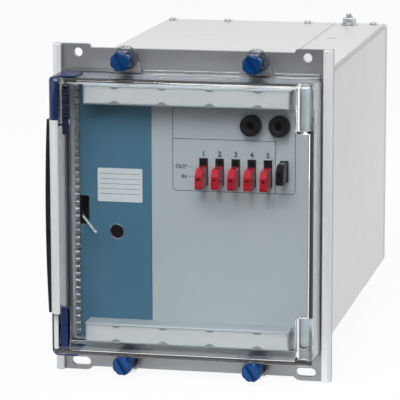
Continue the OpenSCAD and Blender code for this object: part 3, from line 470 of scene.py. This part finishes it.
# moulded, folded and cut edges are never quite sharp: radius of each piece's edges
edgeRounds = {
    "clear_cover": 0.00040, "side_trim_left": 0.00050, "side_trim_right": 0.00050, "side_cover": 0.00030,
    "case_shell": 0.00030, "top_handle": 0.00020, "bottom_handle": 0.00020, "test_socket_left": 0.00025,
    "test_socket_right": 0.00025, "test_link": 0.00030, "corner_clips": 0.00025, "grip_bar": 0.00025,
    "earth_nut": 0.00020, "earth_washer": 0.00020, "earth_stud": 0.00030, "terminal_block_left": 0.00025,
    "terminal_block_right": 0.00025, "rear_pan": 0.00025,
}
edgeRounds.update({"link_%d" % i: 0.00030 for i in linkNumbers})
edgeRounds.update({"thumbscrew_%d" % i: 0.00035 for i in thumbNumbers})
edgeWork = {"merge": 1e-6, "flat": 0.3, "bend": 35.0, "segments": 2}


def softenEdges():
    for name, radius in edgeRounds.items():
        joined = nodes[name].modifiers.new("joined", "WELD")
        joined.merge_threshold = edgeWork["merge"]
        flats = nodes[name].modifiers.new("flats", "DECIMATE")
        flats.decimate_type = "DISSOLVE"
        flats.angle_limit = math.radians(edgeWork["flat"])
        rounded = nodes[name].modifiers.new("rounded", "BEVEL")
        rounded.width = radius
        rounded.segments = edgeWork["segments"]
        rounded.limit_method = "ANGLE"
        rounded.angle_limit = math.radians(edgeWork["bend"])
        rounded.use_clamp_overlap = False


softenEdges()
print("edges rounded on", len(edgeRounds), "nodes")


# helpers for the new pieces

def moveAll(bm, offset):
    bmesh.ops.translate(bm, vec=offset, verts=bm.verts)


def turnAll(bm, degrees, axis):
    turn = Matrix.Rotation(math.radians(degrees), 3, axis)
    bmesh.ops.rotate(bm, cent=(0, 0, 0), matrix=turn, verts=bm.verts)


def flatSheet(x0, x1, y0, y1, rows=1):
    bm = bmesh.new()
    bmesh.ops.create_grid(bm, x_segments=1, y_segments=rows, size=0.5)
    bmesh.ops.scale(bm, vec=(x1 - x0, y1 - y0, 1.0), verts=bm.verts)
    moveAll(bm, ((x0 + x1) / 2, (y0 + y1) / 2, 0.0))
    return bm


def standUp(bm, plane):
    # a sheet drawn in X and Y turns to face the viewer
    turnAll(bm, 90, "X")
    moveAll(bm, (0.0, plane, 0.0))


def growForward(bm, faces, reach):
    grown = bmesh.ops.extrude_face_region(bm, geom=faces)
    moved = [v for v in grown["geom"] if isinstance(v, bmesh.types.BMVert)]
    bmesh.ops.translate(bm, vec=(0, -reach, 0), verts=moved)
    return [f for f in grown["geom"] if isinstance(f, bmesh.types.BMFace)]


def joinPoints(bm):
    bmesh.ops.remove_doubles(bm, verts=bm.verts, dist=edgeWork["merge"])


def roundSharp(bm, bend, edge):
    # outward normals first, then a small radius on every edge that bends more than this
    bmesh.ops.recalc_face_normals(bm, faces=bm.faces)
    sharp = [e for e in bm.edges if len(e.link_faces) == 2 and e.calc_face_angle() > math.radians(bend)]
    bmesh.ops.bevel(bm, geom=sharp, offset=edge, segments=edgeWork["segments"], profile=0.5, affect="EDGES",
                    material=-1)


def newObject(name, bm, mat):
    mesh = bpy.data.meshes.new(name)
    bm.to_mesh(mesh)
    bm.free()
    mesh.materials.append(mat)
    made = bpy.data.objects.new(name, mesh)
    scene.collection.objects.link(made)
    return made


def addPiece(name, bm, look, body):
    piece = newObject(name, bm, finishes[look])
    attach(piece, body)


def mergeInto(bm, part):
    mesh = bpy.data.meshes.new("part")
    part.to_mesh(mesh)
    part.free()
    bm.from_mesh(mesh)
    bpy.data.meshes.remove(mesh)


# print on the grey fascia: outlines, position words and link numbers
fasciaPrint = {"plane": -0.0060, "ink": 0.00003, "line": 0.00035, "apart": 0.00001,
               "corner": 0.002, "cornerSteps": 8, "outer": (-0.0097, 0.0561, 0.0123, 0.0570),
               "shelf": 0.0400, "shelfEnd": 0.0455,
               "numberSize": 0.0027, "numberRise": 0.0325, "firstLink": 0.0071, "linkPitch": 0.0086,
               "wordSize": 0.0020, "wordRight": -0.0020, "words": {"OUT": 0.0252, "IN": 0.0200},
               "letterScale": 1.4, "bold": 0.055, "dashes": (-0.0013, -0.0003, 0.0007), "dashLong": 0.0006}


def addBar(bm, x0, x1, z0, z1):
    mergeInto(bm, flatSheet(x0, x1, z0, z1))


def addOutline(bm, x0, x1, z0, z1):
    p = fasciaPrint
    part = flatSheet(x0, x1, z0, z1)
    bmesh.ops.bevel(part, geom=part.verts[:], offset=p["corner"], segments=p["cornerSteps"], profile=0.5,
                    affect="VERTICES", material=-1)
    inner = part.faces[:]
    bmesh.ops.inset_region(part, faces=inner, thickness=p["line"], use_boundary=True, use_even_offset=True)
    bmesh.ops.delete(part, geom=inner, context="FACES_ONLY")
    mergeInto(bm, part)


def addWords(bm, words, size, x, z, align):
    curve = bpy.data.curves.new("words", "FONT")
    curve.body = words
    curve.size = size * fasciaPrint["letterScale"]
    curve.align_x = align
    curve.align_y = "CENTER"
    curve.offset = size * fasciaPrint["bold"]
    holder = bpy.data.objects.new("words", curve)
    scene.collection.objects.link(holder)
    mesh = bpy.data.meshes.new_from_object(holder.evaluated_get(bpy.context.evaluated_depsgraph_get()))
    mesh.transform(Matrix.Translation((x, z, 0.0)))
    bm.from_mesh(mesh)
    bpy.data.meshes.remove(mesh)
    bpy.data.objects.remove(holder)
    bpy.data.curves.remove(curve)


def thickenPrint(bm, plane, ink):
    # the flat print stands up and is given the thickness of the ink
    joinPoints(bm)
    standUp(bm, plane)
    bmesh.ops.recalc_face_normals(bm, faces=bm.faces)
    for face in bm.faces:
        if face.normal.y > 0:
            face.normal_flip()
    growForward(bm, bm.faces[:], ink)
    bmesh.ops.recalc_face_normals(bm, faces=bm.faces)


def makeFasciaPrint():
    p = fasciaPrint
    bm = bmesh.new()
    x0, x1, z0, z1 = p["outer"]
    addOutline(bm, x0, x1, z0, z1)
    # the two inner lines stop just short of what they meet, so that each stays a closed shape
    shelfTop = p["shelf"] + p["line"]
    addBar(bm, x0 + p["line"], p["shelfEnd"] - p["line"] - p["apart"], p["shelf"], shelfTop)
    addBar(bm, p["shelfEnd"] - p["line"], p["shelfEnd"], z0 + p["line"] + p["apart"], shelfTop)
    for i, number in enumerate(linkNumbers):
        x = p["firstLink"] + i * p["linkPitch"]
        addWords(bm, str(number), p["numberSize"], x, p["numberRise"], "CENTER")
    for word, rise in p["words"].items():
        addWords(bm, word, p["wordSize"], p["wordRight"], rise, "RIGHT")
        for x in p["dashes"]:
            addBar(bm, x, x + p["dashLong"], rise, rise + p["line"])
    thickenPrint(bm, p["plane"], p["ink"])
    addPiece("fasciaPrint", bm, "printInk", "case")


makeFasciaPrint()

# ruled lines on the bare plate
plateLines = {"plane": -0.0063, "ink": 0.00002, "left": -0.0490, "right": -0.0275, "top": 0.0200,
              "step": 0.0027, "rows": 5, "line": 0.00022}


def makePlateLines():
    p = plateLines
    bm = bmesh.new()
    for i in range(p["rows"]):
        z = p["top"] - i * p["step"]
        addBar(bm, p["left"], p["right"], z, z + p["line"])
    thickenPrint(bm, p["plane"], p["ink"])
    addPiece("plateLines", bm, "printInk", "case")


makePlateLines()
print("print added")

# thin bright ring round the indicator, on the blue sheet
lensRing = {"gap": 0.00005, "wide": 0.00045, "proud": 0.0003, "sheet": -0.0060, "edge": 0.0001,
            "steps": 64, "bend": 40}


def makeLensRing():
    p = lensRing
    low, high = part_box("indicator_lens")
    inner = (high[0] - low[0]) / 2 + p["gap"]
    bm = flatSheet(inner, inner + p["wide"], p["sheet"] - p["proud"], p["sheet"])
    bmesh.ops.delete(bm, geom=bm.faces[:], context="FACES_ONLY")
    bmesh.ops.spin(bm, geom=bm.verts[:] + bm.edges[:], cent=(0, 0, 0), axis=(0, 1, 0),
                   angle=math.radians(360), steps=p["steps"], use_merge=True)
    joinPoints(bm)
    roundSharp(bm, p["bend"], p["edge"])
    moveAll(bm, ((low[0] + high[0]) / 2, 0.0, (low[2] + high[2]) / 2))
    addPiece("lensRing", bm, "platedSteel", "case")


makeLensRing()
print("ring of the indicator added")

# narrow white tail of the grip bar, round the cover's left front edge down to its lower corner
gripTail = {"centre": (-0.0665, -0.0255), "inner": 0.00303, "outer": 0.00390, "start": 184.0, "sweep": 84.0,
            "top": -0.0521, "bottom": -0.0708, "steps": 12, "edge": 0.0002, "bend": 40}


def makeGripTail():
    p = gripTail
    bm = flatSheet(p["inner"], p["outer"], p["bottom"], p["top"])
    standUp(bm, 0.0)
    turnAll(bm, p["start"], "Z")
    bmesh.ops.spin(bm, geom=bm.verts[:] + bm.edges[:] + bm.faces[:], cent=(0, 0, 0), axis=(0, 0, 1),
                   angle=math.radians(p["sweep"]), steps=p["steps"], use_merge=False)
    moveAll(bm, (p["centre"][0], p["centre"][1], 0.0))
    joinPoints(bm)
    roundSharp(bm, p["bend"], p["edge"])
    addPiece("gripTail", bm, "gripWhite", "cover")


makeGripTail()

# flat leaves of the two navy corner clips on the cover's front, the upper one ribbed for the thumb and painted a
# darker navy as shade
clipLeaves = {
    "front": -0.02849, "thick": 0.00055, "bend": 40,
    "clipLeafUpper": {"left": -0.0634, "right": -0.0597, "low": 0.0440, "high": 0.0708, "edge": 0.00028,
                      "rows": 27, "ribStart": 0.0520, "ribProud": 0.0005, "finish": "clipNavyInShade"},
    "clipLeafLower": {"left": -0.0649, "right": -0.0616, "low": -0.0708, "high": -0.0480, "edge": 0.00014,
                      "rows": 1, "ribStart": 0.0, "ribProud": 0.0, "finish": "clipNavy"},
}


def makeClipLeaf(name):
    p = clipLeaves[name]
    bm = flatSheet(p["left"], p["right"], p["low"], p["high"], p["rows"])
    standUp(bm, clipLeaves["front"])
    front = growForward(bm, bm.faces[:], clipLeaves["thick"])
    front.sort(key=lambda face: face.calc_center_median().z)
    for face in front[1:-1:2]:
        if face.calc_center_median().z > p["ribStart"]:
            growForward(bm, [face], p["ribProud"])
            bmesh.ops.delete(bm, geom=[face], context="FACES_ONLY")
    roundSharp(bm, clipLeaves["bend"], p["edge"])
    addPiece(name, bm, p["finish"], "cover")


makeClipLeaf("clipLeafUpper")
makeClipLeaf("clipLeafLower")
print("trim of the cover added")


# floor, world and lamps
stageSet = {"floorRise": -0.0895, "floorWide": 7.0, "floorFront": -0.11, "floorBack": 9.0,
            "floorColour": (0.88, 0.88, 0.88, 1.0), "floorGlow": 0.93, "floorRough": 0.9, "floorShine": 0.1,
            "skyColour": (0.97, 0.98, 1.0, 1.0), "skyLevel": 0.50, "skyTop": 0.75,
            "white": (1.0, 1.0, 1.0, 1.0), "roomEdge": (-0.85, -0.35), "roomLevel": 0.05}
lamps = {
    "keySoftbox": {"place": (0.0, -0.95, 1.05), "aim": (0.0, 0.0, 0.0), "size": (0.7, 0.7), "power": 14.5},
    "overheadSoftbox": {"place": (0.1, 0.15, 1.4), "aim": (0.0, 0.1, 0.0), "size": (1.4, 1.2), "power": 1.5},
    "rightSoftbox": {"place": (1.15, 0.7, 0.5), "aim": (0.07, 0.12, 0.0), "size": (0.9, 0.9), "power": 5.6},
    "frontFill": {"place": (-0.9, -1.3, 0.3), "aim": (0.0, 0.0, 0.0), "size": (0.9, 0.9), "power": 3.5},
}


def seenDirectly(tree, shine):
    # what the camera sees, itself or in gloss and clear pieces, but not what only lights a surface
    path = tree.nodes.new("ShaderNodeLightPath").outputs
    mirrored = mathNode(tree, "MAXIMUM", path["Is Glossy Ray"], path["Is Transmission Ray"])
    seen = mathNode(tree, "MAXIMUM", path["Is Camera Ray"], mathNode(tree, "MULTIPLY", mirrored, shine))
    return mathNode(tree, "MULTIPLY", seen, mathNode(tree, "LESS_THAN", path["Diffuse Depth"], 0.5))


def makeFloor():
    p = stageSet
    bm = flatSheet(-p["floorWide"], p["floorWide"], p["floorFront"], p["floorBack"])
    moveAll(bm, (0.0, 0.0, p["floorRise"]))
    mat, tree, shader = startMaterial("studioFloor")
    shader.inputs["Base Color"].default_value = p["floorColour"]
    shader.inputs["Roughness"].default_value = p["floorRough"]
    shader.inputs["Specular IOR Level"].default_value = p["floorShine"]
    glow = tree.nodes.new("ShaderNodeEmission")
    seen = mathNode(tree, "MULTIPLY", seenDirectly(tree, 1.0), p["floorGlow"])
    mixShaders(tree, seen, shader.outputs["BSDF"], glow.outputs["Emission"], "Material Output")
    floor = newObject("studioFloor", bm, mat)


def makeWorld():
    # white behind and at the sides, with a dark room behind the viewer for the clear front to reflect
    p = stageSet
    world = bpy.data.worlds.new("studio")
    scene.world = world
    world.use_nodes = True
    tree = world.node_tree
    aim = splitAxes(tree, tree.nodes.new("ShaderNodeTexCoord").outputs["Generated"])
    sky = tree.nodes["Background"]
    sky.inputs["Color"].default_value = p["skyColour"]
    level = mapRange(tree, aim["Z"], 0.0, p["skyTop"], p["roomLevel"], p["skyLevel"])
    tree.links.new(level, sky.inputs["Strength"])
    white = tree.nodes.new("ShaderNodeBackground")
    white.inputs["Color"].default_value = p["white"]
    room = mapRange(tree, aim["Y"], *p["roomEdge"], 0.0, 1.0)
    seen = seenDirectly(tree, room)
    mixShaders(tree, seen, sky.outputs["Background"], white.outputs["Background"], "World Output")


def addLamps():
    for name, p in lamps.items():
        data = bpy.data.lights.new(name, "AREA")
        data.shape = "RECTANGLE"
        data.size, data.size_y = p["size"]
        data.energy = p["power"]
        lamp = bpy.data.objects.new(name, data)
        lamp.location = p["place"]
        lamp.rotation_euler = (Vector(p["aim"]) - Vector(p["place"])).to_track_quat("-Z", "Y").to_euler()
        scene.collection.objects.link(lamp)


makeFloor()
makeWorld()
addLamps()
print("stage and lamps set")
